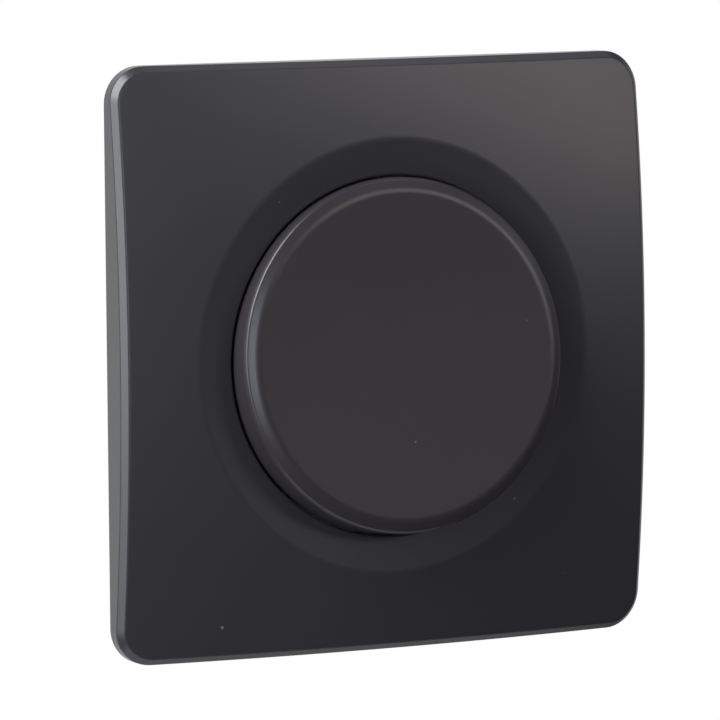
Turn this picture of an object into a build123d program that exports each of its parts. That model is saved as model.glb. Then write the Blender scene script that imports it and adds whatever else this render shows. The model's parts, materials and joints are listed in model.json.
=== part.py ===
from build123d import *
import math
import os

os.makedirs("parts", exist_ok=True)

# Flush two-way light switch, in millimetres.
# X points right, Y points into the wall and Z points up.
# The origin is the middle of the plate, on the wall surface.

# Cover plate
plate_side = 83.0
plate_corner_radius = 5.2
plate_side_wall = 2.0
plate_front_wall = 1.8
dome_height = 8.27
dome_radius = 291.0
edge_bevel = 0.85
dish_radius = 30.5
dish_drop = 0.4
hole_radius = 25.27
collar_wall = 1.5
plate_rib_width = 1.2
plate_rib_gap = 0.4

# Snap hooks that hold the plate on the frame
hook_spacing = 36.0
hook_width = 6.0
hook_thickness = 1.2
hook_catch = 0.7
hook_catch_height = 0.7

# Support frame
frame_side = 71.0
frame_corner_radius = 4.0
frame_thickness = 1.8
screw_pitch = 60.0
slot_width = 3.6
slot_length = 7.0
notch_depth = 0.9
notch_reach = 1.0
frame_rib_length = 40.0
frame_rib_width = 1.4
frame_rib_height = 1.0

# Mechanism cover
tower_side = 29.4
tower_height = 3.4
tower_wall = 1.5
tower_corner_radius = 2.0
lid_thickness = 1.6
nose_length = 8.0
nose_height = 0.9
nose_catch = 0.4
tube_slot_width = 7.4
tube_slot_height = 9.0
bearing_inner_face = 11.2
bearing_thickness = 2.4
bearing_radius = 2.3
latch_spacing = 18.0
latch_width = 5.0
latch_thickness = 1.0
latch_length = 3.4
latch_catch = 0.9
latch_catch_height = 1.4
strip_post_width = 1.2
strip_post_depth = 2.8

# Mechanism base
base_side = 42.0
base_corner_radius = 6.0
base_depth = 23.2
base_wall = 1.6
base_rear_wall = 2.6
base_rear_bevel = 0.8
rib_width = 1.0
rib_front = 11.0
wire_hole_radius = 1.4
wire_spacing = 8.4
terminal_field_width = 15.0
terminal_field_height = 6.6
terminal_field_depth = 0.4
terminal_field_round = 1.5

# Rocker key and its cradle
rocker_half_angle = 4.2
pivot_forward = 5.4
button_radius = 24.95
button_rim_forward = 9.6
button_bevel_width = 1.75
button_bevel_height = 0.6
button_face_radius = 660.0
button_edge_break = 0.25
button_skirt_end = 4.2
button_skirt_wall = 1.5
button_inside_forward = 8.2
button_hook_spacing = 11.0
button_hook_width = 5.0
button_hook_thickness = 1.2
button_hook_length = 2.2
button_hook_catch = 0.6
cradle_width = 21.6
cradle_height = 26.0
cradle_thickness = 1.4
cheek_thickness = 1.4
cheek_half_height = 3.2
cheek_end_forward = 3.9
axle_radius = 1.3
tube_radius = 3.2
tube_end = 3.0
stop_rib_width = 16.0
stop_rib_thickness = 1.4
cradle_rib_width = 1.4
cradle_rib_height = 1.6

# Plunger and its spring
plunger_radius = 2.1
plunger_top = 0.5
plunger_nose_radius = 2.5
plunger_bore_radius = 1.5
plunger_bore_floor = 4.9
coil_radius = 1.05
coil_wire_radius = 0.25
coil_turns = 5.5
coil_sides = 12
coil_wire_sides = 6

# See-saw contact
blade_pivot = 10.6
blade_thickness = 1.0
blade_width = 6.0
blade_half_length = 10.4
blade_ratio = 1.25
fulcrum_radius = 0.5
tip_offset = 8.5
tip_radius = 1.5
tip_height = 0.8
tip_dome_radius = 4.0
fixed_tip_radius = 1.6
fixed_tip_height = 0.8

# Terminal strips and clamps
strip_thickness = 0.8
strip_width = 12.0
strip_inner_end = 4.8
clamp_room = 8.0
strip_bend_radius = 0.9
common_front = 12.0
common_width = 5.6
common_right_end = 4.2
ear_inner_face = 3.3
ear_width = 3.0
ear_front = 9.2
leaf_thickness = 0.4
leaf_width = 11.8
leaf_front = 11.5
leaf_rear_room = 0.8
leaf_bend_radius = 1.0
leaf_angle = 46.0

# Release levers
lever_width = 3.4
lever_depth = 3.0
lever_strip_room = 0.8
lever_proud = 0.6
lever_collar_width = 4.8
lever_collar_thickness = 1.3
lever_slot_width = 1.0
lever_slot_depth = 0.6

# Clearances
running_gap = 0.05
seat_gap = 0.1
sliding_gap = 0.15
snap_gap = 0.2
opening_gap = 0.3


def block(x0, x1, y0, y1, z0, z1):
    """A box between two limits on each axis."""
    centre = Pos((x0 + x1) / 2, (y0 + y1) / 2, (z0 + z1) / 2)
    return centre * Box(abs(x1 - x0), abs(y1 - y0), abs(z1 - z0))


def rod_along_y(radius, y0, y1, x=0.0, z=0.0):
    """A round bar that runs into the wall."""
    return Pos(x, (y0 + y1) / 2, z) * Rot(90, 0, 0) * Cylinder(radius, abs(y1 - y0))


def rod_along_x(radius, x0, x1, y, z=0.0):
    """A round bar that runs from left to right."""
    return Pos((x0 + x1) / 2, y, z) * Rot(0, 90, 0) * Cylinder(radius, abs(x1 - x0))


def square_block(side, corner_radius, y0, y1):
    """A square block with rounded corners, seen from the front."""
    sketch = Plane.XZ.offset(-y1) * RectangleRounded(side, side, corner_radius)
    return extrude(sketch, y1 - y0)


def turned(points):
    """A ring or disc turned about the Y axis from (radius, y) points."""
    return revolve(make_face(Polyline(*points, close=True)), Axis.Y)


def side_profile(points, x0, x1):
    """A bar along X from (y, z) points."""
    outline = Plane.YZ.offset(x0) * make_face(Polyline(*points, close=True))
    return extrude(outline, x1 - x0)


def about_y(shape, angle):
    """The shape turned about the Y axis through the origin."""
    return Rot(0, angle, 0) * shape


def mirrored_x(shape):
    return shape + mirror(shape, Plane.YZ)


def mirrored_z(shape):
    return shape + mirror(shape, Plane.XY)


def dome_front(radius, sphere_radius, height):
    """Y of a dome's front at a distance from its middle."""
    return sphere_radius - height - math.sqrt(sphere_radius**2 - radius**2)


# Places that several pieces share
half_frame = frame_side / 2
half_tower = tower_side / 2
inner_half = base_side / 2 - base_wall
base_floor = base_depth - base_rear_wall
half_strip = strip_width / 2
strip_leg_face = inner_half - clamp_room
strip_leg_inner = strip_leg_face - strip_thickness
strip_leg_end = base_floor - snap_gap
wire_offset = strip_leg_face + wire_hole_radius + snap_gap
lever_inner = strip_leg_face + lever_strip_room
lever_outer = lever_inner + lever_depth

# Cover plate
dome_centre = Pos(0, dome_radius - dome_height, 0)
dome = dome_centre * Sphere(dome_radius)
inner_dome = dome_centre * Sphere(dome_radius - plate_front_wall)
plate_block = square_block(plate_side, plate_corner_radius, -dome_height, 0) & dome
front_face = plate_block.faces().sort_by(Axis.Y)[0]
plate_block = chamfer(front_face.outer_wire().edges(), edge_bevel)
inner_side = plate_side - 2 * plate_side_wall
inner_corner = plate_corner_radius - plate_side_wall
plate_hollow = square_block(inner_side, inner_corner, -dome_height, 0) & inner_dome

well_in_front = -2 * dome_height
dish_rim = dome_front(dish_radius, dome_radius, dome_height)
dish_slope = dish_drop / (dish_radius - hole_radius)
dish_middle = dish_rim + dish_slope * dish_radius
collar_radius = hole_radius + collar_wall
collar_end = -frame_thickness - seat_gap
collar = rod_along_y(collar_radius, -dome_height, collar_end) & dome
dish_cut = turned([
    (0, dish_middle),
    (dish_radius, dish_rim),
    (dish_radius, well_in_front),
    (0, well_in_front),
])
hole_cut = rod_along_y(hole_radius, well_in_front, 0)

plate_rib = block(
    collar_radius - plate_rib_width / 2, plate_side,
    -dome_height, -frame_thickness - plate_rib_gap,
    -plate_rib_width / 2, plate_rib_width / 2,
)
plate_ribs = [about_y(plate_rib, angle) & plate_hollow for angle in (45, 135, 225, 315)]

hook_inner = half_frame + snap_gap
hook_tip = hook_inner - hook_catch
hook_outer = hook_inner + hook_thickness
hook_ledge = -seat_gap - hook_catch_height
hook_profile = [
    (-dome_height, hook_inner),
    (hook_ledge, hook_inner),
    (hook_ledge, hook_tip),
    (-seat_gap, hook_inner),
    (-seat_gap, hook_outer),
    (-dome_height, hook_outer),
]
hook_start = hook_spacing / 2 - hook_width / 2
hook = side_profile(hook_profile, hook_start, hook_start + hook_width) & plate_hollow
hooks = mirrored_z(mirrored_x(hook))

cover_plate = plate_block - plate_hollow + collar
cover_plate = cover_plate + plate_ribs + hooks
cover_plate = cover_plate - dish_cut - hole_cut

# Support frame
frame_opening = tower_side + 2 * opening_gap
support_frame = square_block(frame_side, frame_corner_radius, -frame_thickness, 0)
support_frame -= square_block(frame_opening, tower_corner_radius, -frame_thickness, 0)
slot_sketch = Plane.XZ * SlotOverall(slot_length, slot_width)
slot_cut = Pos(screw_pitch / 2, 0, 0) * extrude(slot_sketch, frame_thickness)
slot_cuts = [about_y(slot_cut, angle) for angle in (0, 90, 180, 270)]
frame_rib = block(
    half_frame - frame_rib_width, half_frame,
    -frame_thickness - frame_rib_height, -frame_thickness,
    -frame_rib_length / 2, frame_rib_length / 2,
)
support_frame += [about_y(frame_rib, angle) for angle in (0, 90, 180, 270)]
notch_cut = block(
    hook_start - opening_gap, hook_start + hook_width + opening_gap,
    -notch_depth, 0, half_frame - notch_reach, half_frame,
)
support_frame = support_frame - slot_cuts - mirrored_z(mirrored_x(notch_cut))

# Mechanism cover
lid_half = inner_half - snap_gap
lid_corner_radius = base_corner_radius - base_wall - snap_gap
tower_top = -tower_height
tower_ceiling = tower_top + tower_wall
mechanism_cover = square_block(2 * lid_half, lid_corner_radius, 0, lid_thickness)
mechanism_cover += square_block(tower_side, tower_corner_radius, tower_top, 0)
mechanism_cover -= square_block(
    tower_side - 2 * tower_wall, tower_corner_radius / 2, tower_ceiling, lid_thickness
)
mechanism_cover -= block(
    -tube_slot_width / 2, tube_slot_width / 2, tower_top, 0,
    -tube_slot_height / 2, tube_slot_height / 2,
)
nose_ledge = -frame_thickness - running_gap
nose_tip = frame_opening / 2 + nose_catch
nose = side_profile(
    [(nose_ledge, half_tower), (nose_ledge, nose_tip), (nose_ledge - nose_height, half_tower)],
    -nose_length / 2, nose_length / 2,
)
mechanism_cover += [about_y(nose, angle) for angle in (0, 90, 180, 270)]

bearing_outer_face = bearing_inner_face + bearing_thickness
bearing = block(
    bearing_inner_face, bearing_outer_face, -pivot_forward, tower_top, -bearing_radius, bearing_radius
)
bearing += rod_along_x(bearing_radius, bearing_inner_face, bearing_outer_face, -pivot_forward)
bearing -= rod_along_x(
    axle_radius + running_gap, bearing_inner_face, bearing_outer_face, -pivot_forward
)
mechanism_cover += mirrored_x(bearing)

latch_start = latch_spacing / 2 - latch_width / 2
latch_end = lid_thickness + latch_length
latch_tip = lid_half + latch_catch
latch_catch_start = latch_end - latch_catch_height
latch = side_profile(
    [
        (0, lid_half - latch_thickness),
        (0, lid_half),
        (latch_catch_start, lid_half),
        (latch_catch_start, latch_tip),
        (latch_end, lid_half),
        (latch_end, lid_half - latch_thickness),
    ],
    latch_start, latch_start + latch_width,
)
latches = mirrored_z(mirrored_x(latch))
mechanism_cover += about_y(latches, 90)

fixed_tip_front = blade_pivot + tip_dome_radius + running_gap
half_swing = math.radians(blade_ratio * rocker_half_angle)
fixed_tip_front += tip_offset * math.sin(half_swing)
fixed_tip_front -= (tip_dome_radius - tip_height) * math.cos(half_swing)
strip_front = fixed_tip_front + fixed_tip_height
strip_back = strip_front + strip_thickness
post_outer = half_strip - snap_gap
strip_post = block(
    post_outer - strip_post_width, post_outer,
    tower_ceiling, strip_front - seat_gap,
    tip_offset - strip_post_depth / 2, tip_offset + strip_post_depth / 2,
)
mechanism_cover += mirrored_z(mirrored_x(strip_post))
common_post = block(
    -tip_offset - strip_post_width / 2, -tip_offset + strip_post_width / 2,
    tower_ceiling, common_front - seat_gap,
    -strip_post_depth / 2, strip_post_depth / 2,
)
mechanism_cover += common_post

# Mechanism base
mechanism_base = square_block(base_side, base_corner_radius, 0, base_depth)
rear_edges = mechanism_base.faces().sort_by(Axis.Y)[-1].edges()
mechanism_base = chamfer(rear_edges, base_rear_bevel)
mechanism_base -= square_block(2 * inner_half, base_corner_radius - base_wall, 0, base_floor)

travel_pedestal = block(
    -half_strip, half_strip, strip_back, base_floor, strip_inner_end, strip_leg_inner
)
common_back = common_front + strip_thickness
common_pedestal = block(
    -strip_leg_inner, common_right_end, common_back, base_floor, -common_width / 2, common_width / 2
)
rib_inner_face = half_strip + snap_gap
terminal_rib = block(
    rib_inner_face, rib_inner_face + rib_width, rib_front, base_floor, strip_leg_inner, inner_half
)
terminal_ribs = mirrored_x(terminal_rib)
mechanism_base += mirrored_z(travel_pedestal)
mechanism_base += common_pedestal

field_back = base_depth - terminal_field_depth
wire_hole = rod_along_y(wire_hole_radius, base_floor, field_back, wire_spacing / 2, wire_offset)
half_lever = lever_width / 2
lever_opening = block(
    -half_lever - sliding_gap, half_lever + sliding_gap, base_floor, base_depth,
    lever_inner - sliding_gap, lever_outer + sliding_gap,
)
field_outline = RectangleRounded(terminal_field_width, terminal_field_height, terminal_field_round)
field_middle = (lever_inner + lever_outer) / 2
field_sketch = Plane.XZ.offset(-base_depth) * Pos(0, field_middle, 0) * field_outline
terminal_field = extrude(field_sketch, terminal_field_depth)
terminal_openings = mirrored_x(wire_hole) + lever_opening + terminal_field

# Seen from the front, the terminals are at the top, the bottom and the left.
upper_turn = 0
lower_turn = 180
common_turn = -90
for turn in (upper_turn, lower_turn, common_turn):
    mechanism_base += about_y(terminal_ribs, turn)
    mechanism_base -= about_y(terminal_openings, turn)
latch_window = block(
    latch_start - snap_gap, latch_start + latch_width + snap_gap,
    latch_catch_start - snap_gap, latch_end + snap_gap,
    inner_half, base_side / 2,
)
mechanism_base -= about_y(mirrored_z(mirrored_x(latch_window)), 90)

# Rocker key, shaped upright and then tilted to its rest position
face_radius = button_radius - button_bevel_width
face_edge = -button_rim_forward - button_bevel_height
rim_radius = button_radius - button_edge_break
rim_forward = button_rim_forward + button_edge_break * button_bevel_height / button_bevel_width
face_sag = button_face_radius - math.sqrt(button_face_radius**2 - face_radius**2)
skirt_inner = button_radius - button_skirt_wall
rocker_button = turned([
    (0, face_edge),
    (face_radius, face_edge),
    (rim_radius, -rim_forward),
    (button_radius, button_edge_break - button_rim_forward),
    (button_radius, -button_skirt_end),
    (skirt_inner, -button_skirt_end),
    (skirt_inner, -button_inside_forward),
    (0, -button_inside_forward),
])
face_hollow = Pos(0, face_edge + face_sag - button_face_radius, 0) * Sphere(button_face_radius)
rocker_button -= face_hollow

half_cradle = cradle_height / 2
cradle_front = -button_inside_forward
cradle_back = cradle_front + cradle_thickness
key_hook_inner = half_cradle + snap_gap
key_hook_end = cradle_front + button_hook_length
key_hook = side_profile(
    [
        (cradle_front, key_hook_inner),
        (cradle_back + running_gap, key_hook_inner),
        (cradle_back + running_gap, key_hook_inner - button_hook_catch),
        (key_hook_end, key_hook_inner),
        (key_hook_end, key_hook_inner + button_hook_thickness),
        (cradle_front, key_hook_inner + button_hook_thickness),
    ],
    button_hook_spacing / 2 - button_hook_width / 2,
    button_hook_spacing / 2 + button_hook_width / 2,
)
rocker_button += mirrored_z(mirrored_x(key_hook))

# Rocker cradle
half_width = cradle_width / 2
rocker_cradle = block(-half_width, half_width, cradle_front, cradle_back, -half_cradle, half_cradle)
cheek = block(
    half_width - cheek_thickness, half_width, cradle_back, -cheek_end_forward,
    -cheek_half_height, cheek_half_height,
)
axle = rod_along_x(axle_radius, half_width, bearing_outer_face - snap_gap, -pivot_forward)
rocker_cradle += mirrored_x(cheek + axle)
rocker_cradle += rod_along_y(tube_radius, cradle_back, tube_end)
tilt = math.radians(rocker_half_angle)
stop_outer = half_cradle - stop_rib_thickness / 2
stop_reach = pivot_forward - tower_height - running_gap - stop_outer * math.sin(tilt)
stop_end = -pivot_forward + stop_reach / math.cos(tilt)
stop_rib = block(
    -stop_rib_width / 2, stop_rib_width / 2, cradle_back, stop_end,
    stop_outer - stop_rib_thickness, stop_outer,
)
cradle_rib = block(
    -cradle_rib_width / 2, cradle_rib_width / 2, cradle_back, cradle_back + cradle_rib_height,
    tube_radius / 2, stop_outer,
)
rocker_cradle += mirrored_z(stop_rib + cradle_rib)
rocker_cradle -= rod_along_y(plunger_radius + running_gap, cradle_back, tube_end)

# Plunger, with a blind bore for its spring
plunger_tip = blade_pivot - blade_thickness - running_gap
nose_centre = plunger_tip - plunger_nose_radius
nose_ball = Pos(0, nose_centre, 0) * Sphere(plunger_nose_radius)
plunger = rod_along_y(plunger_radius, plunger_top, nose_centre)
plunger += rod_along_y(plunger_radius, nose_centre, plunger_tip) & nose_ball
plunger -= rod_along_y(plunger_bore_radius, plunger_top, plunger_bore_floor)

# Plunger spring
coil_start = cradle_back + coil_wire_radius + running_gap
coil_end = plunger_bore_floor - coil_wire_radius - running_gap
coil_steps = round(coil_turns * coil_sides)
coil_points = []
for step in range(coil_steps + 1):
    angle = 2 * math.pi * step / coil_sides
    along = coil_start + (coil_end - coil_start) * step / coil_steps
    coil_points.append((coil_radius * math.cos(angle), along, coil_radius * math.sin(angle)))
coil_path = Polyline(*coil_points)
coil_begin = Plane(coil_path @ 0, z_dir=coil_path % 0)
coil_section = coil_begin * RegularPolygon(coil_wire_radius, coil_wire_sides)
plunger_spring = sweep(coil_section, coil_path, transition=Transition.RIGHT)

# See-saw contact, shaped level and then tilted to its rest position
half_blade = blade_width / 2
blade_front = blade_pivot - blade_thickness
contact_blade = block(
    -half_blade, half_blade, blade_front, blade_pivot, -blade_half_length, blade_half_length
)
contact_blade -= rod_along_x(fulcrum_radius + running_gap, -half_blade, half_blade, blade_pivot)
tip_cap = Pos(0, blade_pivot + tip_height - tip_dome_radius, tip_offset) * Sphere(tip_dome_radius)
moving_tip = rod_along_y(tip_radius, blade_pivot, blade_pivot + tip_height, z=tip_offset) & tip_cap
moving_contact_tips = mirrored_z(moving_tip)

# Common terminal, with the fulcrum ridge and two guiding ears
common_terminal = block(
    -strip_leg_face, common_right_end, common_front, common_back, -common_width / 2, common_width / 2
)
common_terminal += block(
    -strip_leg_face, -strip_leg_inner, common_front, strip_leg_end, -half_strip, half_strip
)
common_bend = common_terminal.edges().filter_by(Axis.Z).group_by(Axis.X)[0].sort_by(Axis.Y)[:1]
common_terminal = fillet(common_bend, strip_bend_radius)
common_terminal += rod_along_x(fulcrum_radius, -half_blade, half_blade, blade_pivot)
common_terminal += block(
    -half_blade, half_blade, blade_pivot, common_front, -fulcrum_radius, fulcrum_radius
)
ear = block(
    ear_inner_face, ear_inner_face + strip_thickness, ear_front, common_front,
    -ear_width / 2, ear_width / 2,
)
common_terminal += mirrored_x(ear)

# Upper and lower terminals, each a bent strip with a fixed contact tip
upper_terminal = block(
    -half_strip, half_strip, strip_front, strip_back, strip_inner_end, strip_leg_face
)
upper_terminal += block(
    -half_strip, half_strip, strip_front, strip_leg_end, strip_leg_inner, strip_leg_face
)
bend_edges = upper_terminal.edges().filter_by(Axis.X).group_by(Axis.Z)[-1].sort_by(Axis.Y)[:1]
upper_terminal = fillet(bend_edges, strip_bend_radius)
lower_terminal = about_y(upper_terminal, lower_turn)
upper_contact_tip = rod_along_y(fixed_tip_radius, fixed_tip_front, strip_front, z=tip_offset)
lower_contact_tip = about_y(upper_contact_tip, lower_turn)

# Wire clamp springs: a leg on the housing wall, a bend and a slanting tongue
leaf_height = inner_half - leaf_thickness / 2 - running_gap
leaf_turn = 180 - leaf_angle
leaf_bend_start = base_floor - leaf_rear_room - leaf_bend_radius - leaf_thickness / 2
bend_end_y = leaf_bend_start + leaf_bend_radius * math.sin(math.radians(leaf_turn))
bend_end_z = leaf_height - leaf_bend_radius + leaf_bend_radius * math.cos(math.radians(leaf_turn))
tongue_end_z = strip_leg_face + leaf_thickness
tongue_run = (bend_end_z - tongue_end_z) / math.tan(math.radians(leaf_angle))
leaf_leg = Line((leaf_front, leaf_height), (leaf_bend_start, leaf_height))
leaf_bend = JernArc((leaf_bend_start, leaf_height), (1, 0), leaf_bend_radius, -leaf_turn)
leaf_tongue = Line((bend_end_y, bend_end_z), (bend_end_y - tongue_run, tongue_end_z))
leaf_path = Plane.YZ * Wire([leaf_leg, leaf_bend, leaf_tongue])
leaf_start = Plane(leaf_path @ 0, x_dir=(1, 0, 0), z_dir=(0, 1, 0))
leaf_section = leaf_start * Rectangle(leaf_width, leaf_thickness)
upper_clamp_spring = sweep(leaf_section, leaf_path)
lower_clamp_spring = about_y(upper_clamp_spring, lower_turn)
common_clamp_spring = about_y(upper_clamp_spring, common_turn)

# Release levers: a stem through the rear wall, a collar that keeps it in, and a slanting nose
lever_rear = base_depth + lever_proud
collar_rear = base_floor - seat_gap
collar_front = collar_rear - lever_collar_thickness
slant = 1 / math.tan(math.radians(leaf_angle))
nose_gap = (leaf_thickness / 2 + sliding_gap) * math.sqrt(1 + slant**2)
nose_outer = bend_end_y - (bend_end_z - lever_outer) * slant + nose_gap
nose_inner = bend_end_y - (bend_end_z - lever_inner) * slant + nose_gap
upper_release_lever = side_profile(
    [
        (lever_rear, lever_inner),
        (lever_rear, lever_outer),
        (nose_outer, lever_outer),
        (nose_inner, lever_inner),
    ],
    -half_lever, half_lever,
)
upper_release_lever += block(
    -lever_collar_width / 2, lever_collar_width / 2, collar_front, collar_rear, lever_inner, lever_outer
)
upper_release_lever -= block(
    -half_lever, half_lever, lever_rear - lever_slot_depth, lever_rear,
    field_middle - lever_slot_width / 2, field_middle + lever_slot_width / 2,
)
lower_release_lever = about_y(upper_release_lever, lower_turn)
common_release_lever = about_y(upper_release_lever, common_turn)

# Rest position: the key is pressed in at the top, so the lower contact is closed
to_rest = Pos(0, -pivot_forward, 0) * Rot(-rocker_half_angle, 0, 0) * Pos(0, pivot_forward, 0)
blade_turn = Rot(blade_ratio * rocker_half_angle, 0, 0)
blade_to_rest = Pos(0, blade_pivot, 0) * blade_turn * Pos(0, -blade_pivot, 0)

nodes = {
    "cover_plate": cover_plate,
    "support_frame": support_frame,
    "mechanism_cover": mechanism_cover,
    "mechanism_base": mechanism_base,
    "rocker_button": to_rest * rocker_button,
    "rocker_cradle": to_rest * rocker_cradle,
    "plunger": to_rest * plunger,
    "plunger_spring": to_rest * plunger_spring,
    "contact_blade": blade_to_rest * contact_blade,
    "moving_contact_tips": blade_to_rest * moving_contact_tips,
    "common_terminal": common_terminal,
    "upper_terminal": upper_terminal,
    "lower_terminal": lower_terminal,
    "upper_contact_tip": upper_contact_tip,
    "lower_contact_tip": lower_contact_tip,
    "common_clamp_spring": common_clamp_spring,
    "upper_clamp_spring": upper_clamp_spring,
    "lower_clamp_spring": lower_clamp_spring,
    "common_release_lever": common_release_lever,
    "upper_release_lever": upper_release_lever,
    "lower_release_lever": lower_release_lever,
}
for name, shape in nodes.items():
    shape.label = name
    export_step(shape, f"parts/{name}.step")
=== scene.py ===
# %% [markdown]
# # A two-way light switch, dressed in Blender
#
# The object is a flush wall switch: a square anthracite plate with a softly domed front, a
# shallow dished ring, and one large round key that rocks up and down. The CAD model arrives as
# a frame of named solids that is already in metres. This lesson rebuilds the two faces that a
# hand meets with real rounded edges, remakes the springs, and gives every solid a finish of its
# own.

import json
import math

import bmesh
import bpy
from mathutils import Matrix, Vector


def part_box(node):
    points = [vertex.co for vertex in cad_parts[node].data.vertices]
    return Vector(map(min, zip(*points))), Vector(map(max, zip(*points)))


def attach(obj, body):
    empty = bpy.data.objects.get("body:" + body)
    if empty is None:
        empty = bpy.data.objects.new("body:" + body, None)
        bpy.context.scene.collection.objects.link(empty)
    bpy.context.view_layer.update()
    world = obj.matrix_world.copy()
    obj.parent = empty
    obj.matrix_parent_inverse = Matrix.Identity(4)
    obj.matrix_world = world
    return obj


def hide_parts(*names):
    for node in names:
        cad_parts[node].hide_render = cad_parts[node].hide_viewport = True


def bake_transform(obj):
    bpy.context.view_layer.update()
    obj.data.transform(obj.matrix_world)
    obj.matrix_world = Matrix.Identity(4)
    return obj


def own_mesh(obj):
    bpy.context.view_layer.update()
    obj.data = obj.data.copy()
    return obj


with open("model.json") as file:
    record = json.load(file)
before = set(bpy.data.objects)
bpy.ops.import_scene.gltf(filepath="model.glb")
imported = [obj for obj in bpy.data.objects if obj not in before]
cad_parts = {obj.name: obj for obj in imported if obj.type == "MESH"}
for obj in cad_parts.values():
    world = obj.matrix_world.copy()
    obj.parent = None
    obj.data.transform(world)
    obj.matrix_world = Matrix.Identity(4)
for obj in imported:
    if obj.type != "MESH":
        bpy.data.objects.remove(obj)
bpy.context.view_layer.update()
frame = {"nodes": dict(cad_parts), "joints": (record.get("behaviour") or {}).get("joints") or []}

# %% [markdown]
# ## Rounded profiles
#
# A moulding has no knife edges: every corner of its section carries a small radius, and that
# radius is what catches the light. The section could be beveled later with a modifier, but a
# modifier guesses which edges matter. Here the corner points of a section are listed with a
# radius each, and one helper swaps every corner for an arc. Plate and key both use it.

# %% Helper: rounded profile
ARC_STEPS = 5


def rounded_profile(corners):
    """Turn (a, b, radius) corners into 2-D points, each corner swapped for an arc."""
    points = [Vector(corners[0][:2])]
    for before, here, after in zip(corners, corners[1:], corners[2:]):
        corner = Vector(here[:2])
        to_before = (Vector(before[:2]) - corner).normalized()
        to_after = (Vector(after[:2]) - corner).normalized()
        half_angle = to_before.angle(to_after) / 2
        middle = (to_before + to_after).normalized()
        centre = corner + middle * here[2] / math.sin(half_angle)
        reach = here[2] / math.tan(half_angle)
        start = corner + to_before * reach - centre
        turn = start.angle_signed(corner + to_after * reach - centre)
        for step in range(ARC_STEPS + 1):
            points.append(centre + Matrix.Rotation(-turn * step / ARC_STEPS, 2) @ start)
    points.append(Vector(corners[-1][:2]))
    return points


test_corner = rounded_profile([(0, 1, 0), (0, 0, 0.2), (1, 0, 0)])
print("one rounded corner has", len(test_corner), "points")

# %% [markdown]
# ## Rings and bars
#
# Two ways of building make all the new pieces. A loft joins rings of equal length with quads,
# which keeps the faces in clean rows that follow the form. A bar is a short extrusion with
# broken edges, for hooks, clips and ribs. Each finished mesh is shaded smooth; a weighted normal
# lets the large faces lead, so the small radii shine and the flats stay flat.

# %% Helpers: loft and bar
BAR_BEVEL_STEPS = 2


def loft(mesh, rings, closed):
    """Bridge rings of equal length with quads; a closed loft joins the last to the first."""
    rows = [[mesh.verts.new(point) for point in ring] for ring in rings]
    if closed:
        rows.append(rows[0])
    for row, next_row in zip(rows, rows[1:]):
        for index in range(len(row)):
            following = (index + 1) % len(row)
            mesh.faces.new((row[index], row[following], next_row[following], next_row[index]))
    return rows


def bar(mesh, profile, x0, x1, matrix, edge_break):
    """Add a bar along X from (y, z) points, with broken edges, and move it by a matrix."""
    made = bmesh.new()
    ends = loft(made, [[Vector((x, *point)) for point in profile] for x in (x0, x1)], closed=False)
    for end in ends:
        made.faces.new(end)
    bmesh.ops.recalc_face_normals(made, faces=made.faces)
    round_edges = {"segments": BAR_BEVEL_STEPS, "profile": 0.5, "affect": "EDGES"}
    bmesh.ops.bevel(made, geom=made.edges, offset=edge_break, **round_edges)
    bmesh.ops.transform(made, matrix=matrix, verts=made.verts)
    copy = bpy.data.meshes.new("bar")
    made.to_mesh(copy)
    made.free()
    mesh.from_mesh(copy)
    bpy.data.meshes.remove(copy)


print("edges of bars are rounded in", BAR_BEVEL_STEPS, "steps")

# %% Helper: finished piece
SHARP_EDGE = math.radians(40)


def finished_piece(name, mesh):
    """Store the mesh as an object with smooth faces and normals led by the large faces."""
    bmesh.ops.recalc_face_normals(mesh, faces=mesh.faces)
    for face in mesh.faces:
        face.smooth = True
    for edge in mesh.edges:
        edge.smooth = edge.calc_face_angle(0.0) < SHARP_EDGE
    data = bpy.data.meshes.new(name)
    mesh.to_mesh(data)
    mesh.free()
    piece = bpy.data.objects.new(name, data)
    bpy.context.scene.collection.objects.link(piece)
    normals = piece.modifiers.new("large faces lead", "WEIGHTED_NORMAL")
    normals.keep_sharp = True
    print(name, len(data.vertices), "vertices", len(data.polygons), "faces")
    return piece


print("edges over", round(math.degrees(SHARP_EDGE)), "degrees stay sharp")

# %% [markdown]
# ## The cover plate
#
# On the real switch the plate is one thin shell: a domed front that is part of a large sphere,
# a beveled edge, side walls that fall to the wall, and a collar round the hole for the key.
# A subdivided cube would need many support loops to hold those radii. Rings are simpler: every
# ring has the same number of stations and may be a rounded square, a circle or anything between.
# The stations stand closer in the corners, where the outline turns.

# %% Plate: stations of the outline
half_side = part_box("cover_plate")[1].x
plate_corner = 0.0052
straight = half_side - plate_corner
SIDE_STEPS = 18
CORNER_STEPS = 12


def outline(inset):
    """The plate's rounded square, moved in by a distance."""
    spread = math.atan2(straight, half_side)
    quarter = []
    for step in range(-SIDE_STEPS, SIDE_STEPS + 1):
        along = half_side * math.tan(spread * step / SIDE_STEPS)
        quarter.append(Vector((half_side - inset, along)))
    for step in range(1, CORNER_STEPS):
        turn = math.pi / 2 * step / CORNER_STEPS
        arm = Vector((math.cos(turn), math.sin(turn))) * (plate_corner - inset)
        quarter.append(Vector((straight, straight)) + arm)
    quarter_turns = [Matrix.Rotation(math.pi / 2 * side, 2) for side in range(4)]
    return [turn @ point for turn in quarter_turns for point in quarter]


def circle(radius):
    """A circle whose points face the stations of the outline."""
    return [point.normalized() * radius for point in outline(0)]


print(len(outline(0)), "stations on an outline of", round(2000 * half_side, 1), "mm")

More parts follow.
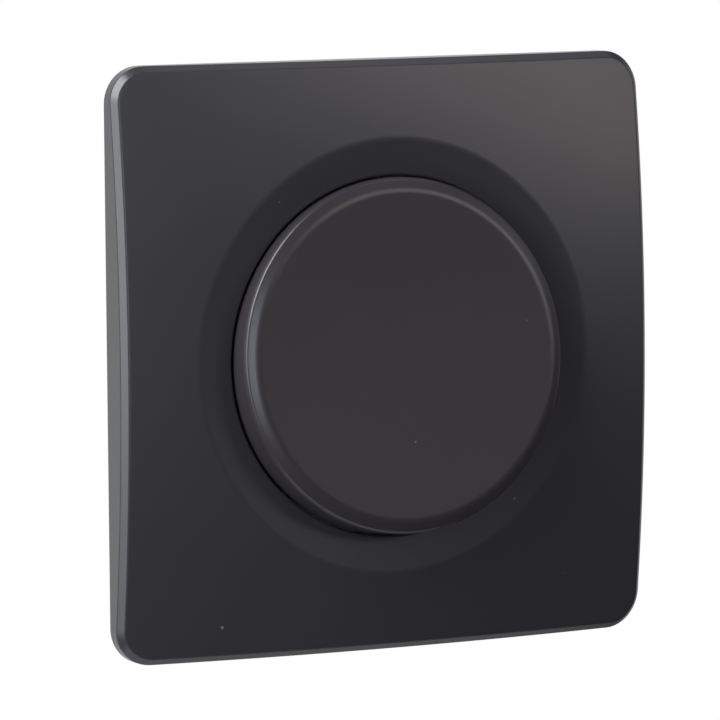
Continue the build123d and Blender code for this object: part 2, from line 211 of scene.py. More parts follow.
# %% [markdown]
# ### The dome
#
# The front is a patch of a sphere of nearly 0.3 m radius. It could be pushed out with a lattice,
# but a sphere is exact: the depth of a point follows from its distance to the middle. The same
# rule with a smaller radius gives the inside of the shell.

# %% Plate: depth on the dome
dome_radius = 0.291
dome_height = 0.00827


def dome(point, sphere_radius):
    """Depth of a sphere about the dome's centre, at a point seen from the front."""
    return dome_radius - dome_height - math.sqrt(sphere_radius**2 - point.length_squared)


def level_ring(points, depth):
    """Points seen from the front, all at one depth."""
    return [Vector((point.x, depth, point.y)) for point in points]


def dome_ring(points, sphere_radius, drop=0.0):
    """Points seen from the front, laid on a sphere and moved back by a drop."""
    return [Vector((point.x, dome(point, sphere_radius) + drop, point.y)) for point in points]


def between(ring_a, ring_b, share):
    """Points that lie a share of the way from one ring to another."""
    return [a.lerp(b, share) for a, b in zip(ring_a, ring_b)]


print("the dome stands", round(-1000 * dome(Vector((0, 0)), dome_radius), 2), "mm before the wall")

# %% [markdown]
# ### Edge and hole
#
# Two sections carry the small forms. At the rim a bevel breaks the edge of the dome, and round
# the key the front dips into a dish, turns into the hole and comes back along a collar. The
# dish meets the dome in a wide, soft bend, and the hole has a small radius. Both sections are
# drawn as corners and rounded by the helper.

# %% Plate: sections of edge and hole
edge_bevel = 0.00085
edge_round = 0.00045
wall_round = 0.0003
front_wall = 0.0018
dish_radius = 0.0305
dish_drop = 0.0004
dish_round = 0.0050
shoulder = 0.0025
hole_radius = 0.02527
hole_round = 0.0005
rim_break = 0.00015
inner_round = 0.0003
collar_wall = 0.0015
collar_radius = hole_radius + collar_wall
collar_end = -0.0019

edge_profile = rounded_profile([
    (0, edge_bevel + wall_round, 0),
    (0, edge_bevel, wall_round),
    (edge_bevel, 0, edge_round),
    (edge_bevel + edge_round, 0, 0),
])
inner_radius = dome_radius - front_wall
dish_rim = dome(Vector((dish_radius, 0)), dome_radius)
dish_floor = dish_rim + dish_drop
shoulder_depth = dome(Vector((dish_radius + shoulder, 0)), dome_radius)
ceiling = dome(Vector((collar_radius, 0)), inner_radius)
hole_profile = rounded_profile([
    (dish_radius + shoulder, shoulder_depth, 0),
    (dish_radius, dish_rim, dish_round),
    (hole_radius, dish_floor, hole_round),
    (hole_radius, collar_end, rim_break),
    (collar_radius, collar_end, rim_break),
    (collar_radius, ceiling, inner_round),
    (collar_radius + shoulder, ceiling, 0),
])
print(len(edge_profile), "points in the edge,", len(hole_profile), "in the hole")

# %% [markdown]
# ### From rings to a shell
#
# The rings walk from the back rim over the edge, across the dome, into the dish and the hole,
# and return along the inside. Joining the last ring to the first closes the shell, so the mesh
# has no open border and needs no solidify modifier.

# %% Plate: join the rings
plate_wall = 0.0020
DOME_STEPS = 12

plate_rings = [level_ring(outline(rim_break), 0), level_ring(outline(0), -rim_break)]
for inset, drop in edge_profile:
    plate_rings.append(dome_ring(outline(inset), dome_radius, drop))
front_outline = outline(edge_bevel + edge_round)
shoulder_circle = circle(dish_radius + shoulder)
for step in range(1, DOME_STEPS):
    points = between(front_outline, shoulder_circle, step / DOME_STEPS)
    plate_rings.append(dome_ring(points, dome_radius))
for radius, depth in hole_profile[:-1]:
    plate_rings.append(level_ring(circle(radius), depth))
inner_outline = outline(plate_wall)
inner_circle = circle(collar_radius + shoulder)
for step in range(DOME_STEPS + 1):
    points = between(inner_circle, inner_outline, step / DOME_STEPS)
    plate_rings.append(dome_ring(points, inner_radius))
plate_rings.append(level_ring(inner_outline, -rim_break))
plate_rings.append(level_ring(outline(plate_wall - rim_break), 0))

plate_mesh = bmesh.new()
loft(plate_mesh, plate_rings, closed=True)
print(len(plate_rings), "rings in the shell")

# %% [markdown]
# ### Ribs and hooks
#
# Behind the front, four ribs run from the collar to the corners and stiffen the shell, and four
# hooks snap over the support frame. A boolean would weld them on but cut up the even rings, so
# they are bars that sink a fraction of a millimetre into the wall. A rib has to follow the
# dome from inside, or it would come out of the front.

# %% Plate: ribs
rib_width = 0.0012
rib_back = -0.0022
rib_sink = 0.0003
rib_break = 0.0001
rib_start = collar_radius - rib_sink
rib_end = math.sqrt(inner_radius**2 - (dome_radius - dome_height - rib_back) ** 2)
RIB_STEPS = 4
rib_profile = [(rib_back, rib_start)]
for step in range(RIB_STEPS + 1):
    along = rib_start + (rib_end - rib_start) * step / RIB_STEPS
    rib_profile.append((dome(Vector((along, 0)), inner_radius) - rib_sink, along))
rib_profile.append((rib_back, rib_end))
for corner in range(4):
    to_corner = Matrix.Rotation(math.radians(45 + 90 * corner), 4, "Y")
    bar(plate_mesh, rib_profile, -rib_width / 2, rib_width / 2, to_corner, rib_break)
print("ribs from", round(1000 * rib_start, 1), "to", round(1000 * rib_end, 1), "mm")

# %% Plate: snap hooks
hook_inner = 0.0357
hook_tip = 0.0350
hook_outer = 0.0369
hook_front = -0.0047
hook_ledge = -0.0008
hook_end = -0.0001
hook_start = 0.015
hook_width = 0.006
hook_profile = [
    (hook_front, hook_inner),
    (hook_ledge, hook_inner),
    (hook_ledge, hook_tip),
    (hook_end, hook_inner),
    (hook_end, hook_outer),
    (hook_front, hook_outer),
]
mirror_z = Matrix.Scale(-1, 4, (0, 0, 1))
for side in (Matrix.Identity(4), mirror_z):
    for start in (hook_start, -hook_start - hook_width):
        bar(plate_mesh, hook_profile, start, start + hook_width, side, rim_break)
plate = finished_piece("plate_shell", plate_mesh)
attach(plate, "housing")
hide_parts("cover_plate")

# %% [markdown]
# ## The rocker key
#
# The key is a turned form: a slightly hollow face, a sloping bevel, a narrow steep flank and a
# straight skirt. Spinning its half section gives it, and the radii sit in the section. The
# bend between face and bevel is wide, which makes the light fade there; the rim is tight, which
# makes a fine bright line.

# %% Key: half section
key_radius = 0.02495
key_rim = -0.0096
bevel_width = 0.00175
bevel_height = 0.0006
bevel_round = 0.0035
rim_round = 0.0005
flank_width = 0.00025
flank_height = 0.0006
flank_round = 0.0009
face_hollow = 0.660
skirt_end = -0.0042
skirt_wall = 0.0015
skirt_inner = key_radius - skirt_wall
key_ceiling = -0.0082
FACE_STEPS = 8
face_edge = key_radius - bevel_width
face_depth = key_rim - bevel_height


def hollow(radius):
    """Depth of the key's hollow face at a distance from its middle."""
    return face_depth + (face_edge**2 - radius**2) / (2 * face_hollow)


flank_depth = key_rim - bevel_height * flank_width / bevel_width
flat_end = face_edge * (FACE_STEPS - 1) / FACE_STEPS
key_profile = [Vector((face_edge * step / FACE_STEPS, 0)) for step in range(1, FACE_STEPS - 1)]
for point in key_profile:
    point.y = hollow(point.x)
key_profile += rounded_profile([
    (flat_end, hollow(flat_end), 0),
    (face_edge, face_depth, bevel_round),
    (key_radius - flank_width, flank_depth, rim_round),
    (key_radius, key_rim + flank_height, flank_round),
    (key_radius, skirt_end, rim_break),
    (skirt_inner, skirt_end, rim_break),
    (skirt_inner, key_ceiling, inner_round),
    (face_edge / FACE_STEPS, key_ceiling, 0),
])
print(len(key_profile), "points in the half section")

# %% [markdown]
# ### Spin and tip
#
# The half section is turned into rings about the key's axis, and a fan of triangles closes the
# middle of the face and of the inside. The key is made upright and then tipped about the
# rocker's axis, by half of the joint's travel, because at rest the switch is pressed in at the
# top. Four clips inside hold it on the cradle; they are bars like the plate's hooks.

# %% Key: spin the section
KEY_STATIONS = 180


def turned_ring(radius, depth):
    """A circle about the key's axis."""
    turns = [2 * math.pi * station / KEY_STATIONS for station in range(KEY_STATIONS)]
    return [Vector((radius * math.cos(turn), depth, radius * math.sin(turn))) for turn in turns]


key_mesh = bmesh.new()
key_rows = loft(key_mesh, [turned_ring(*point) for point in key_profile], closed=False)
for row, depth in ((key_rows[0], hollow(0)), (key_rows[-1], key_ceiling)):
    middle = key_mesh.verts.new((0, depth, 0))
    for index in range(KEY_STATIONS):
        key_mesh.faces.new((row[index - 1], row[index], middle))
print(len(key_mesh.faces), "faces in the turned key")

# %% Key: clips, and tipped to rest
clip_inner = 0.0132
clip_catch = 0.0006
clip_thickness = 0.0012
clip_ledge = -0.00675
clip_end = -0.0060
clip_start = 0.0030
clip_width = 0.0050
clip_profile = [
    (key_ceiling - rib_sink, clip_inner),
    (clip_ledge, clip_inner),
    (clip_ledge, clip_inner - clip_catch),
    (clip_end, clip_inner),
    (clip_end, clip_inner + clip_thickness),
    (key_ceiling - rib_sink, clip_inner + clip_thickness),
]
for side in (Matrix.Identity(4), mirror_z):
    for start in (clip_start, -clip_start - clip_width):
        bar(key_mesh, clip_profile, start, start + clip_width, side, rim_break)
tilt = next(joint for joint in frame["joints"] if joint["name"] == "rocker_tilt")
pivot = Vector(tilt["pos_m"])
rest_turn = Matrix.Rotation(math.radians(-tilt["range_deg"][1] / 2), 4, "X")
to_rest = Matrix.Translation(pivot) @ rest_turn @ Matrix.Translation(-pivot)
bmesh.ops.transform(key_mesh, matrix=to_rest, verts=key_mesh.verts)
key = finished_piece("key_cap", key_mesh)
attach(key, "rocker")
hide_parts("rocker_button")

# %% [markdown]
# ## The coil spring
#
# Behind the key a small coil spring pushes the plunger. A curve with a bevel could draw it, but
# its end turns lie close, as on a real spring, so the pitch changes along the wire. Here a circle
# of wire is placed at every step of the helix, square to the wire, and lofted. The coil rides
# with the rocker as one rigid piece, and a rigid copy can be cut by the plunger that presses on it.

# %% Coil spring: round wire on a helix
coil_start = -0.0065
coil_end = 0.0046
coil_radius = 0.00105
wire_radius = 0.00025
coil_turns = 8
close_turns = 1
close_pitch = 2.1 * wire_radius
open_turns = coil_turns - 2 * close_turns
open_pitch = (coil_end - coil_start - 2 * close_turns * close_pitch) / open_turns
TURN_STEPS = 20
WIRE_STEPS = 10


def coil_depth(turns):
    """How far along its axis the wire has come after some turns."""
    first = min(turns, close_turns) * close_pitch
    middle = min(max(turns - close_turns, 0), open_turns) * open_pitch
    last = max(turns - coil_turns + close_turns, 0) * close_pitch
    return coil_start + first + middle + last


def wire_ring(step):
    """A circle of wire at a step of the helix, square to the wire."""
    turn = 2 * math.pi * step / TURN_STEPS
    outward = Vector((math.cos(turn), 0, math.sin(turn)))
    rise = coil_depth((step + 1) / TURN_STEPS) - coil_depth((step - 1) / TURN_STEPS)
    sweep = 4 * math.pi * coil_radius / TURN_STEPS
    along = Vector((-outward.z * sweep, rise, outward.x * sweep)).normalized()
    across = outward.cross(along)
    middle = outward * coil_radius + Vector((0, coil_depth(step / TURN_STEPS), 0))
    angles = [2 * math.pi * index / WIRE_STEPS for index in range(WIRE_STEPS)]
    return [middle + wire_radius * (outward * math.cos(a) + across * math.sin(a)) for a in angles]


print(coil_turns, "turns, the open ones", round(1000 * open_pitch, 2), "mm apart")

# %% Coil spring: loft it, and let it ride with the rocker
coil_mesh = bmesh.new()
wire_rings = [wire_ring(step) for step in range(coil_turns * TURN_STEPS + 1)]
wire_rows = loft(coil_mesh, wire_rings, closed=False)
for row in (wire_rows[0], wire_rows[-1]):
    coil_mesh.faces.new(row)
bmesh.ops.transform(coil_mesh, matrix=to_rest, verts=coil_mesh.verts)
coil = finished_piece("plunger_coil", coil_mesh)
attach(coil, "rocker")
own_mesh(coil)
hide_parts("plunger_spring")

# %% [markdown]
# ## The leaf springs
#
# Three bent leaves of spring steel hold the wires, and each has a release lever that presses its
# tongue down. An armature would be much for one bend. The leaf is a thin strip with enough
# cross sections, drawn once in its bent shape and turned to each of the three sides.

# %% Leaf springs: a leg, a bend and a tongue
leaf_width = 0.0118
leaf_thickness = 0.0004
leaf_leg_height = 0.01915
leaf_front = 0.0115
leaf_corner = 0.020956
leaf_bend = 0.0010
tongue_end = (0.01386, 0.0118)
TONGUE_STEPS = 8

leaf_path = rounded_profile([
    (leaf_front, leaf_leg_height, 0),
    (leaf_corner, leaf_leg_height, leaf_bend),
    (*tongue_end, 0),
])
bend_end, leaf_tip = leaf_path[-2:]
for step in range(1, TONGUE_STEPS):
    leaf_path.insert(-1, bend_end.lerp(leaf_tip, step / TONGUE_STEPS))


def leaf_ring(index):
    """The leaf's rectangular section at a point of its path."""
    before = leaf_path[max(index - 1, 0)]
    after = leaf_path[min(index + 1, len(leaf_path) - 1)]
    normal = (after - before).normalized().orthogonal() * leaf_thickness / 2
    inner = leaf_path[index] - normal
    outer = leaf_path[index] + normal
    half = leaf_width / 2
    corners = ((-half, inner), (half, inner), (half, outer), (-half, outer))
    return [Vector((x, point.x, point.y)) for x, point in corners]


print(len(leaf_path), "sections along a leaf")

# %% Leaf springs: loft them, and turn each to its side
RELEASE_TURNS = {"upper": 0, "lower": 180, "common": -90}

for release, turn in RELEASE_TURNS.items():
    leaf_mesh = bmesh.new()
    leaf_rows = loft(leaf_mesh, [leaf_ring(index) for index in range(len(leaf_path))], closed=False)
    for row in (leaf_rows[0], leaf_rows[-1]):
        leaf_mesh.faces.new(row)
    to_side = Matrix.Rotation(math.radians(turn), 4, "Y")
    bmesh.ops.transform(leaf_mesh, matrix=to_side, verts=leaf_mesh.verts)
    leaf = finished_piece(f"{release}_leaf", leaf_mesh)
    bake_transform(leaf)
    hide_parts(f"{release}_clamp_spring")

# %% [markdown]
# ## Shared surface effects
#
# Three effects come back on several pieces. Every moulding has a fine satin grain and slow
# changes of tone; the parts that stand in a room carry a few specks of dust; sheet metal keeps
# the streaks of the rolling mill. Each is a node group, built once, with the values that differ
# from piece to piece as inputs. All of them read object coordinates, so they stay on the piece
# when it moves.

# %% Helpers: a new group and its sockets
GROUP_SOCKETS = {"value": "NodeSocketFloat", "colour": "NodeSocketColor"}


def new_group(name, inputs, outputs):
    """An empty shader node group with (name, kind, default) inputs and (name, kind) outputs."""
    group = bpy.data.node_groups.new(name, "ShaderNodeTree")
    for socket, kind, default in inputs:
        made = group.interface.new_socket(socket, in_out="INPUT", socket_type=GROUP_SOCKETS[kind])
        made.default_value = default
    for socket, kind in outputs:
        group.interface.new_socket(socket, in_out="OUTPUT", socket_type=GROUP_SOCKETS[kind])
    entry = group.nodes.new("NodeGroupInput")
    leave = group.nodes.new("NodeGroupOutput")
    return group, entry.outputs, leave.inputs


def feed(tree, socket, value):
    """Link a socket to a socket, or set it to a plain number or colour."""
    if isinstance(value, bpy.types.NodeSocket):
        tree.links.new(value, socket)
    else:
        socket.default_value = value


print("a group passes", " and ".join(GROUP_SOCKETS), "sockets")

# %% Helpers: nodes that the groups share
# A Mix node has sockets for every kind of data; these places hold its colours.
MIX_COLOURS = (6, 7)
MIX_COLOUR_RESULT = 2
SOFT_DETAIL = 2.0
FINE_DETAIL = 3.0


def add_math(tree, operation, *values):
    """The result of one Math node."""
    node = tree.nodes.new("ShaderNodeMath")
    node.operation = operation
    for socket, value in zip(node.inputs, values):
        feed(tree, socket, value)
    return node.outputs["Value"]


def add_noise(tree, vector, scale, detail):
    """A noise from 0 to 1 at a place."""
    node = tree.nodes.new("ShaderNodeTexNoise")
    feed(tree, node.inputs["Vector"], vector)
    feed(tree, node.inputs["Scale"], scale)
    feed(tree, node.inputs["Detail"], detail)
    return node.outputs["Fac"]


def add_mix(tree, share, first, second):
    """Two colours mixed by a share."""
    node = tree.nodes.new("ShaderNodeMix")
    node.data_type = "RGBA"
    feed(tree, node.inputs["Factor"], share)
    for index, value in zip(MIX_COLOURS, (first, second)):
        feed(tree, node.inputs[index], value)
    return node.outputs[MIX_COLOUR_RESULT]


def place(tree):
    """Where a point lies on its piece, in metres."""
    return tree.nodes.new("ShaderNodeTexCoord").outputs["Object"]


def varied(tree, middle, spread, noise):
    """A value that swings about a middle by a spread, as a noise says."""
    swing = add_math(tree, "SUBTRACT", noise, 0.5)
    return add_math(tree, "MULTIPLY_ADD", swing, spread, middle)


print("noise has", SOFT_DETAIL, "or", FINE_DETAIL, "octaves")

# %% [markdown]
# ### Moulded plastic
#
# A spark-eroded mould leaves a grain of a tenth of a millimetre, too fine to see but enough to
# turn gloss into satin. It goes to the bump. A second, slow noise shifts tone and roughness a
# little, as flow in the mould does. One noise for both would tie a pit to a tone, which real
# plastic doesn't show.

# %% Group: moulded plastic
MOTTLE_SCALE = 90.0
FLOW_SCALE = 35.0
moulding, given, result = new_group(
    "moulded plastic",
    [
        ("Colour", "colour", (0.5, 0.5, 0.5, 1)),
        ("Tone Spread", "value", 0.1),
        ("Roughness", "value", 0.5),
        ("Roughness Spread", "value", 0.1),
        ("Grain Scale", "value", 7000.0),
    ],
    [("Colour", "colour"), ("Roughness", "value"), ("Height", "value")],
)
spot = place(moulding)
mottle = add_noise(moulding, spot, MOTTLE_SCALE, FINE_DETAIL)
flow = add_noise(moulding, spot, FLOW_SCALE, SOFT_DETAIL)
grain = add_noise(moulding, spot, given["Grain Scale"], SOFT_DETAIL)
roughness = varied(moulding, given["Roughness"], given["Roughness Spread"], flow)
shade = moulding.nodes.new("ShaderNodeHueSaturation")
feed(moulding, shade.inputs["Value"], varied(moulding, 1.0, given["Tone Spread"], mottle))
feed(moulding, shade.inputs["Color"], given["Colour"])
feed(moulding, result["Colour"], shade.outputs["Color"])
feed(moulding, result["Roughness"], roughness)
feed(moulding, result["Height"], grain)
print(moulding.name, len(moulding.nodes), "nodes")

# %% [markdown]
# ### Dust
#
# Dark plastic shows every speck. A few pale grains lie on the front, each about a fifth of a
# millimetre across. A cell texture in the plane of the plate gives one point per cell; a random
# value per cell keeps only a few of them, and the distance to the point draws the grain.

# %% Group: dust specks
dust, given, result = new_group(
    "dust specks",
    [("Cells", "value", 110.0), ("Kept Share", "value", 0.12), ("Speck Size", "value", 0.024)],
    [("Mask", "value")],
)
apart = dust.nodes.new("ShaderNodeSeparateXYZ")
feed(dust, apart.inputs["Vector"], place(dust))
flat = dust.nodes.new("ShaderNodeCombineXYZ")
feed(dust, flat.inputs["X"], apart.outputs["X"])
feed(dust, flat.inputs["Y"], apart.outputs["Z"])
cells = dust.nodes.new("ShaderNodeTexVoronoi")
cells.voronoi_dimensions = "2D"
feed(dust, cells.inputs["Vector"], flat.outputs["Vector"])
feed(dust, cells.inputs["Scale"], given["Cells"])
tint = dust.nodes.new("ShaderNodeSeparateColor")
feed(dust, tint.inputs["Color"], cells.outputs["Color"])
kept = add_math(dust, "LESS_THAN", tint.outputs["Red"], given["Kept Share"])
size = add_math(dust, "MULTIPLY", given["Speck Size"], tint.outputs["Green"])
near = add_math(dust, "LESS_THAN", cells.outputs["Distance"], size)
feed(dust, result["Mask"], add_math(dust, "MULTIPLY", kept, near))
print(dust.name, len(dust.nodes), "nodes")

# %% [markdown]
# ### Rolled metal
#
# Strip for contacts and springs is rolled, so its surface is drawn out along one direction. A
# noise whose coordinates are squeezed along that direction gives long streaks, and the same
# streaks vary the roughness and lift the bump. Scratches drawn one by one would take many nodes.

# %% Group: rolled metal
STREAK_ALONG = 0.04
CLOUD_SCALE = 400.0
rolled, given, result = new_group(
    "rolled metal",
    [
        ("Colour", "colour", (0.6, 0.6, 0.6, 1)),
        ("Tone Spread", "value", 0.2),
        ("Roughness", "value", 0.3),
        ("Roughness Spread", "value", 0.2),
        ("Streak Scale", "value", 5000.0),
    ],
    [("Colour", "colour"), ("Roughness", "value"), ("Height", "value")],
)
stretch = rolled.nodes.new("ShaderNodeVectorMath")
stretch.operation = "MULTIPLY"
stretch.inputs[1].default_value = (1.0, STREAK_ALONG, 1.0)
feed(rolled, stretch.inputs[0], place(rolled))
streaks = add_noise(rolled, stretch.outputs["Vector"], given["Streak Scale"], FINE_DETAIL)
cloud = add_noise(rolled, place(rolled), CLOUD_SCALE, SOFT_DETAIL)
roughness = varied(rolled, given["Roughness"], given["Roughness Spread"], streaks)
shade = rolled.nodes.new("ShaderNodeHueSaturation")
feed(rolled, shade.inputs["Value"], varied(rolled, 1.0, given["Tone Spread"], cloud))
feed(rolled, shade.inputs["Color"], given["Colour"])
feed(rolled, result["Colour"], shade.outputs["Color"])
feed(rolled, result["Roughness"], roughness)
feed(rolled, result["Height"], streaks)
print(rolled.name, len(rolled.nodes), "nodes")

# %% [markdown]
# ## Finishes
#
# Each material is a Principled shader fed by one of the groups. What is the same all over, such
# as metal or not, is set on the shader itself; what varies comes through the group. The bump is
# kept in the material, because its depth in metres is part of the finish.

# %% Helper: a material around one group
def finish(name, group, values, bump_distance, metallic=0.0):
    """A material whose colour, roughness and bump come from a group with its own values."""
    material = bpy.data.materials.new(name)
    material.use_nodes = True
    tree = material.node_tree
    shader = tree.nodes["Principled BSDF"]
    shader.inputs["Metallic"].default_value = metallic
    surface = tree.nodes.new("ShaderNodeGroup")
    surface.node_tree = group
    for socket, value in values.items():
        surface.inputs[socket].default_value = value
    bump = tree.nodes.new("ShaderNodeBump")
    bump.inputs["Distance"].default_value = bump_distance
    feed(tree, bump.inputs["Height"], surface.outputs["Height"])
    feed(tree, shader.inputs["Base Color"], surface.outputs["Colour"])
    feed(tree, shader.inputs["Roughness"], surface.outputs["Roughness"])
    feed(tree, shader.inputs["Normal"], bump.outputs["Normal"])
    return material


print("finishes start from", moulding.name, "or", rolled.name)

# %% Helpers: dust on a finish, and a finish on its pieces
def dusted(material, dust_colour):
    """Lay dust specks over the material's colour."""
    tree = material.node_tree
    base = tree.nodes["Principled BSDF"].inputs["Base Color"]
    specks = tree.nodes.new("ShaderNodeGroup")
    specks.node_tree = dust
    colour = base.links[0].from_socket
    feed(tree, base, add_mix(tree, specks.outputs["Mask"], colour, dust_colour))
    return material


def dress(material, *pieces):
    """Give a material to pieces, in place of whatever they had."""
    for piece in pieces:
        piece.data.materials.clear()
        piece.data.materials.append(material)
    print(material.name, "on", ", ".join(piece.name for piece in pieces))


nodes = frame["nodes"]
print(len(nodes), "solids to dress")

# %% [markdown]
# ### Satin anthracite: plate and key
#
# Plate and key are dyed through in dark grey, and the mould gives them the same satin. The plate
# leans to blue and the key a little to red, since they come from different moulds and batches.
# A coat of clear lacquer would look too wet, so the shine is left to the roughness. A few specks
# of dust lie on both.

# %% Finish: plate
DUST_COLOUR = (0.16, 0.16, 0.16, 1)
GRAIN_DEPTH = 0.000002
satin_mould = {"Roughness": 0.30, "Roughness Spread": 0.05, "Grain Scale": 7000.0}
anthracite = finish(
    "satin anthracite plate",
    moulding,
    {**satin_mould, "Colour": (0.0349, 0.0338, 0.0391, 1), "Tone Spread": 0.10},
    bump_distance=GRAIN_DEPTH,
)
dress(dusted(anthracite, DUST_COLOUR), plate)

# %% Finish: key
key_satin = finish(
    "satin anthracite key",
    moulding,
    {**satin_mould, "Colour": (0.0311, 0.0275, 0.0325, 1), "Tone Spread": 0.08},
    bump_distance=GRAIN_DEPTH,
)
dress(dusted(key_satin, DUST_COLOUR), key)

# %% [markdown]
# ### Plastics behind the plate
#
# The support frame is filled with glass fibre for stiffness, which leaves a mottled, dull grey.
# The housing of the mechanism is a pale grey that stands heat. The cradle and the plunger slide, so
# they are made of a waxy white plastic, and the wire levers are orange, so that they are found
# with a screwdriver in a dark box. All four are the moulded plastic group with other values.

# %% Finish: frame and housing
glass_filled = finish(
    "glass-filled grey frame",
    moulding,
    {"Colour": (0.30, 0.31, 0.32, 1), "Tone Spread": 0.25, "Roughness": 0.6, "Grain Scale": 3500.0},
    bump_distance=0.00001,
)
dress(glass_filled, nodes["support_frame"])
housing_grey = finish(
    "dull light grey housing",
    moulding,
    {"Colour": (0.50, 0.50, 0.485, 1), "Tone Spread": 0.10, "Roughness": 0.55, "Grain Scale": 4500.0},
    bump_distance=0.000008,
)
dress(housing_grey, nodes["mechanism_cover"], nodes["mechanism_base"])

# %% Finish: sliding parts and levers
waxy_white = finish(
    "waxy white slide plastic",
    moulding,
    {"Colour": (0.72, 0.72, 0.69, 1), "Tone Spread": 0.06, "Roughness": 0.35, "Grain Scale": 6000.0},
    bump_distance=0.000003,
)
dress(waxy_white, nodes["rocker_cradle"], nodes["plunger"])
lever_orange = finish(
    "orange release lever",
    moulding,
    {"Colour": (0.62, 0.17, 0.03, 1), "Tone Spread": 0.08, "Roughness": 0.38, "Grain Scale": 6000.0},
    bump_distance=0.000003,
)
dress(lever_orange, *[nodes[f"{release}_release_lever"] for release in RELEASE_TURNS])

# %% [markdown]
# ### Metals
#
# Springs are rolled steel, the current runs through stamped brass strip, and the contact tips are
# a silver alloy that doesn't burn. A metal shows its colour in the reflection, so Metallic is 1
# for all three and the colour is that of the reflection. They share the rolled metal group and
# differ in colour, in gloss and in how coarse the streaks are.

# %% Finish: spring steel
spring_steel = finish(
    "rolled spring steel",
    rolled,
    {"Colour": (0.50, 0.50, 0.51, 1), "Tone Spread": 0.15, "Roughness": 0.30, "Streak Scale": 5000.0},
    bump_distance=0.000003,
    metallic=1.0,
)
leaves = [bpy.data.objects[f"{release}_leaf"] for release in RELEASE_TURNS]
dress(spring_steel, coil, *leaves)

# %% Finish: brass and silver
brass = finish(
    "stamped brass strip",
    rolled,
    {"Colour": (0.72, 0.50, 0.22, 1), "Tone Spread": 0.20, "Roughness": 0.28, "Streak Scale": 4000.0},
    bump_distance=0.000003,
    metallic=1.0,
)
dress(brass, nodes["contact_blade"], *[nodes[f"{release}_terminal"] for release in RELEASE_TURNS])
silver = finish(
    "silver contact alloy",
    rolled,
    {"Colour": (0.83, 0.82, 0.78, 1), "Tone Spread": 0.12, "Roughness": 0.25, "Streak Scale": 3000.0},
    bump_distance=0.000002,
    metallic=1.0,
)
tips = ("moving_contact_tips", "upper_contact_tip", "lower_contact_tip")
dress(silver, *[nodes[name] for name in tips])

# %% [markdown]
# ## Floor
#
# The switch hangs upright, as on its wall, so the pale floor of the studio lies far below it. It
# returns a little light to the lower bevel. A floor right under the switch would be mirrored in the
# dark plastic and turn it grey.

# %% Floor
FLOOR_DROP = 1.4
FLOOR_HALF = 1.0
floor_mesh = bmesh.new()
bmesh.ops.create_grid(floor_mesh, x_segments=1, y_segments=1, size=FLOOR_HALF)
floor_data = bpy.data.meshes.new("studio_floor")
floor_mesh.to_mesh(floor_data)
floor_mesh.free()
floor = bpy.data.objects.new("studio_floor", floor_data)
floor.location.z = -FLOOR_DROP
bpy.context.scene.collection.objects.link(floor)
pale = bpy.data.materials.new("pale floor")
pale.use_nodes = True
pale_shader = pale.node_tree.nodes["Principled BSDF"]
pale_shader.inputs["Base Color"].default_value = (0.8, 0.8, 0.8, 1)
pale_shader.inputs["Roughness"].default_value = 0.8
floor_data.materials.append(pale)
print("floor", FLOOR_DROP, "m below the switch")

# %% [markdown]
# ## Lamps
#
# Dark satin plastic shows mostly what it mirrors, so each lamp has a face to light. Three soft
# boxes stand above each other on the left: the high one grazes the front, and the lower two are
# mirrored in the left edge from end to end. A strip nearly in front lies in the key's left bevel,
# and a tilted strip on the right slides over the upper right of the dome. Five dim boxes at the
# right and above lift the bevels that look that way. All stand far away for the size of the
# switch, so the light is even across it. One sun lamp would be simpler, but it is a small disc in
# the sky, and its mirror image in satin would be a hard spot.

# %% Lamps
LAMP_DISTANCE = 2.5
WHITE = (1.0, 1.0, 1.0)


def direction(azimuth, elevation):
    """A unit vector to the right of and above the switch's front, by angles in degrees."""
    side = math.radians(azimuth)
    rise = math.radians(elevation)
    level = Vector((math.sin(side), -math.cos(side), 0))
    return level * math.cos(rise) + Vector((0, 0, math.sin(rise)))


def soft_box(name, azimuth, elevation, size, power, tint=WHITE, roll=0.0):
    """A rectangular lamp that faces the switch, turned in its own plane by a roll."""
    lamp = bpy.data.lights.new(name, "AREA")
    lamp.shape = "RECTANGLE"
    lamp.size, lamp.size_y = size
    lamp.energy = power
    lamp.color = tint
    holder = bpy.data.objects.new(name, lamp)
    towards = direction(azimuth, elevation)
    holder.location = towards * LAMP_DISTANCE
    turned = Matrix.Rotation(math.radians(roll), 3, "Z")
    holder.rotation_euler = (towards.to_track_quat("Z", "Y").to_matrix() @ turned).to_euler()
    holder.visible_camera = False
    bpy.context.scene.collection.objects.link(holder)
    print(name, power, "W at", [round(value, 2) for value in holder.location])


soft_box("high left soft box", -77, 42, (1.1, 2.2), 100.0, tint=(0.95, 0.98, 1.0))
soft_box("left soft box", -74, 3, (1.4, 1.1), 27.0, tint=(0.93, 0.97, 1.0))
soft_box("low left soft box", -66, -19, (0.8, 0.7), 6.0, tint=(0.93, 0.97, 1.0))
soft_box("front strip", -10, 4, (0.31, 1.04), 9.9, tint=(0.86, 0.93, 1.0))
soft_box("right strip", 34.5, 14, (1.67, 0.42), 8.1, tint=(1.0, 0.92, 0.90), roll=-25)
soft_box("right panel", 50, 8, (1.04, 1.04), 1.2)
soft_box("far right soft box", 62, 22, (1.0, 1.0), 1.7)
soft_box("side soft box", 94, 6, (1.6, 1.6), 4.0)
soft_box("upper soft box", 38, 45, (1.25, 0.83), 1.8)
soft_box("top soft box", 78, 62, (1.25, 1.25), 4.0)

# %% [markdown]
# ## World
#
# Behind the switch stands a white backdrop, which the side walls mirror at a low angle, and in
# front the room is nearly dark, which keeps dark plastic dark. A white plane would do the same,
# but it would be seen cut off from other sides. So the world's colour depends on the direction:
# white straight behind, for mirrored rays too, and dim elsewhere. The camera itself sees plain
# white everywhere.

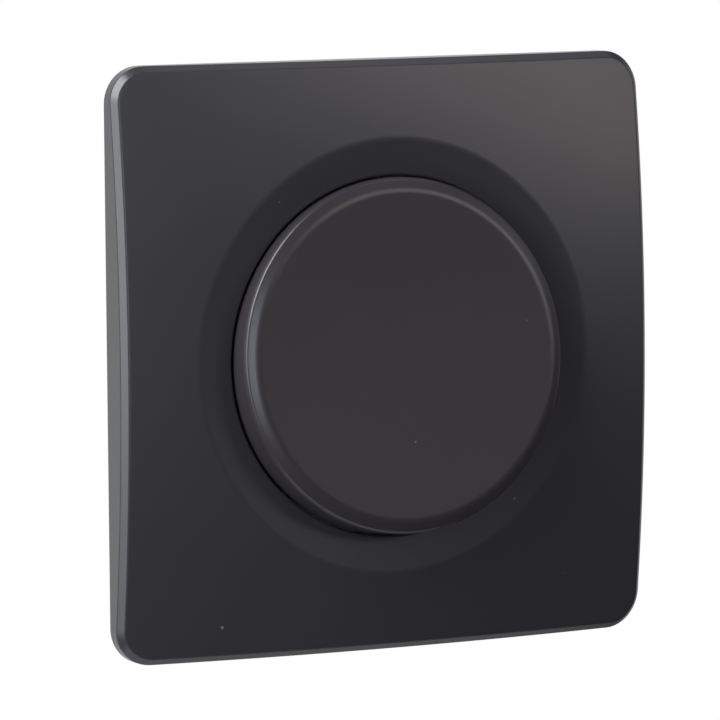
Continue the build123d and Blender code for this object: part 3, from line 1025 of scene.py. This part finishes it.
# %% World: dim in front, a white backdrop behind
FRONT_LEVEL = 0.015
BACKDROP_LEVEL = 1.0
BACKDROP_START = 0.35
BACKDROP_FULL = 0.80
world = bpy.data.worlds.new("white studio")
bpy.context.scene.world = world
world.use_nodes = True
studio = world.node_tree
around = studio.nodes["Background"]
heading = studio.nodes.new("ShaderNodeSeparateXYZ")
feed(studio, heading.inputs["Vector"], studio.nodes.new("ShaderNodeTexCoord").outputs["Generated"])
backdrop = studio.nodes.new("ShaderNodeMapRange")
feed(studio, backdrop.inputs["Value"], heading.outputs["Y"])
feed(studio, backdrop.inputs["From Min"], BACKDROP_START)
feed(studio, backdrop.inputs["From Max"], BACKDROP_FULL)
feed(studio, backdrop.inputs["To Min"], FRONT_LEVEL)
feed(studio, backdrop.inputs["To Max"], BACKDROP_LEVEL)
feed(studio, around.inputs["Color"], backdrop.outputs["Result"])
print(world.name, "with", FRONT_LEVEL, "in front and", BACKDROP_LEVEL, "behind")

# %% World: plain white for the camera
seen = studio.nodes.new("ShaderNodeBackground")
feed(studio, seen.inputs["Color"], (1, 1, 1, 1))
choice = studio.nodes.new("ShaderNodeMixShader")
feed(studio, choice.inputs["Fac"], studio.nodes.new("ShaderNodeLightPath").outputs["Is Camera Ray"])
feed(studio, choice.inputs[1], around.outputs["Background"])
feed(studio, choice.inputs[2], seen.outputs["Background"])
feed(studio, studio.nodes["World Output"].inputs["Surface"], choice.outputs["Shader"])
print(world.name, "has", len(studio.nodes), "nodes")

# %% [markdown]
# ## Camera
#
# The photograph was taken with a long lens from the left and slightly above. The numbers below
# come from fitting the plate's corners and the key's rim. The camera is placed from them
# directly and not with a tracking constraint, so the small roll is kept.

# %% Camera
camera_azimuth = -27.33
camera_elevation = 5.54
camera_roll = -0.49
camera_distance = 0.8642
focal_pixels = 6142
image_pixels = 720
look_at = Vector((-0.00219, 0, -0.00097))

back = direction(camera_azimuth, camera_elevation)
right = Vector((0, 0, 1)).cross(back).normalized()
up = back.cross(right)
axes = Matrix((right, up, back)).transposed().to_4x4()
lens = bpy.data.cameras.new("long lens")
lens.lens = lens.sensor_width * focal_pixels / image_pixels
camera = bpy.data.objects.new("photo camera", lens)
roll = Matrix.Rotation(math.radians(camera_roll), 4, "Z")
camera.matrix_world = Matrix.Translation(look_at + back * camera_distance) @ axes @ roll
bpy.context.scene.collection.objects.link(camera)
bpy.context.scene.camera = camera
bpy.context.scene.view_settings.view_transform = "Standard"
print("camera at", [round(value, 3) for value in camera.location])
print("lens", round(lens.lens, 1), "mm")
